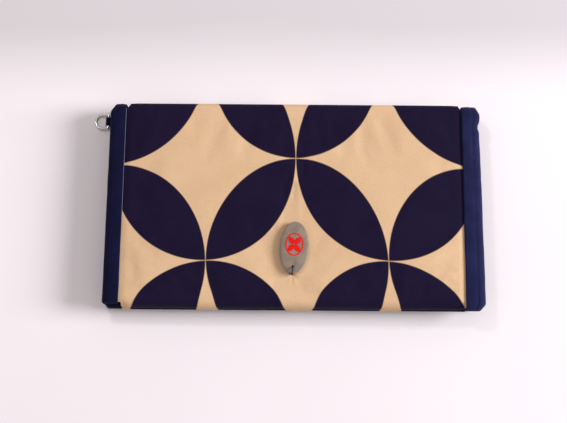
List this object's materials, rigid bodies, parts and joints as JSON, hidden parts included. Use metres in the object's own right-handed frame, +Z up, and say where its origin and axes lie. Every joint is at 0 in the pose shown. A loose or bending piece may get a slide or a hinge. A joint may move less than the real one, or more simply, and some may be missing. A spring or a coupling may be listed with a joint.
{
  "type": "wristlet wallet",
  "caption": "Padded fabric bifold wallet with bound sides, magnetic snap, zipped coin pocket, card pockets, a strap ring and an oval hang tag.",
  "frame": {"origin": "centre of the closed wallet on its resting face, the rear cover's outer face", "axes": "+X along the fold, away from the strap ring; +Y towards the fold; +Z up, out of the front cover"},
  "size_m": [0.209, 0.111, 0.0201],
  "materials": {
    "print_cloth": "woven cotton, printed",
    "binding_cloth": "woven cotton, matt",
    "lining_cloth": "woven lining, matt",
    "foam": "soft wadding",
    "zip_tape": "woven tape",
    "zip_metal": "worn satin",
    "steel": "polished by wear",
    "magnet": "dark ferrite",
    "thread": "twisted cotton",
    "tag_shell": "dull, slightly mottled",
    "tag_paint": "thin paint"
  },
  "bodies": {
    "rear_cover": {"rear_cover_fabric": "print_cloth", "rear_padding": "foam", "rear_lining": "lining_cloth", "rear_binding_left": "binding_cloth", "rear_binding_right": "binding_cloth", "bill_pocket_panel": "lining_cloth", "coin_pocket_front": "lining_cloth", "coin_pocket_top": "lining_cloth", "pocket_top_binding": "binding_cloth", "pocket_bottom_seam": "lining_cloth", "zip_tape_upper": "zip_tape", "zip_tape_lower": "zip_tape", "zip_teeth_upper": "zip_metal", "zip_teeth_lower": "zip_metal", "zip_stops": "zip_metal", "snap_socket_cap": "steel", "snap_magnet": "magnet", "snap_socket_base": "steel", "snap_socket_washer": "steel", "ring_tab": "binding_cloth"},
    "spine": {"spine_fabric": "print_cloth", "spine_padding": "foam", "spine_lining": "lining_cloth", "spine_binding_left": "binding_cloth", "spine_binding_right": "binding_cloth"},
    "front_cover": {"front_cover_fabric": "print_cloth", "front_padding": "foam", "front_lining": "lining_cloth", "front_binding_left": "binding_cloth", "front_binding_right": "binding_cloth", "card_pocket_1": "lining_cloth", "card_pocket_2": "lining_cloth", "card_pocket_3": "lining_cloth", "snap_stud": "steel", "snap_stud_washer": "steel"},
    "ring": {"strap_ring": "steel"},
    "slider": {"zip_slider": "zip_metal", "zip_pull": "zip_metal"},
    "thread": {"tag_thread": "thread"},
    "tag": {"oval_tag": "tag_shell", "tag_emblem": "tag_paint"}
  },
  "joints": [
    {"name": "rear_fold", "type": "hinge", "parent": "rear_cover", "child": "spine", "pos_m": [0, 0.05404, 0.00146], "axis": [-1, 0, 0], "range_deg": [0, 90]},
    {"name": "front_fold", "type": "hinge", "parent": "spine", "child": "front_cover", "pos_m": [0, 0.05404, 0.01454], "axis": [-1, 0, 0], "range_deg": [0, 87]},
    {"name": "ring_swing", "type": "hinge", "parent": "rear_cover", "child": "ring", "pos_m": [-0.1015, 0.0482, 0.0017], "axis": [0, 1, 0], "range_deg": [-80, 98]},
    {"name": "zip_slide", "type": "slide", "parent": "rear_cover", "child": "slider", "axis": [1, 0, 0], "range_m": [0, 0.1416]},
    {"name": "tag_swivel", "type": "hinge", "parent": "front_cover", "child": "thread", "pos_m": [-0.0005, -0.0372, 0.0176], "axis": [0, 0, 1], "range_deg": [-45, 45]},
    {"name": "tag_flip", "type": "hinge", "parent": "thread", "child": "tag", "pos_m": [-0.0005, -0.0372, 0.0176], "axis": [0.9976, -0.0698, 0], "range_deg": [0, 165]}
  ]
}
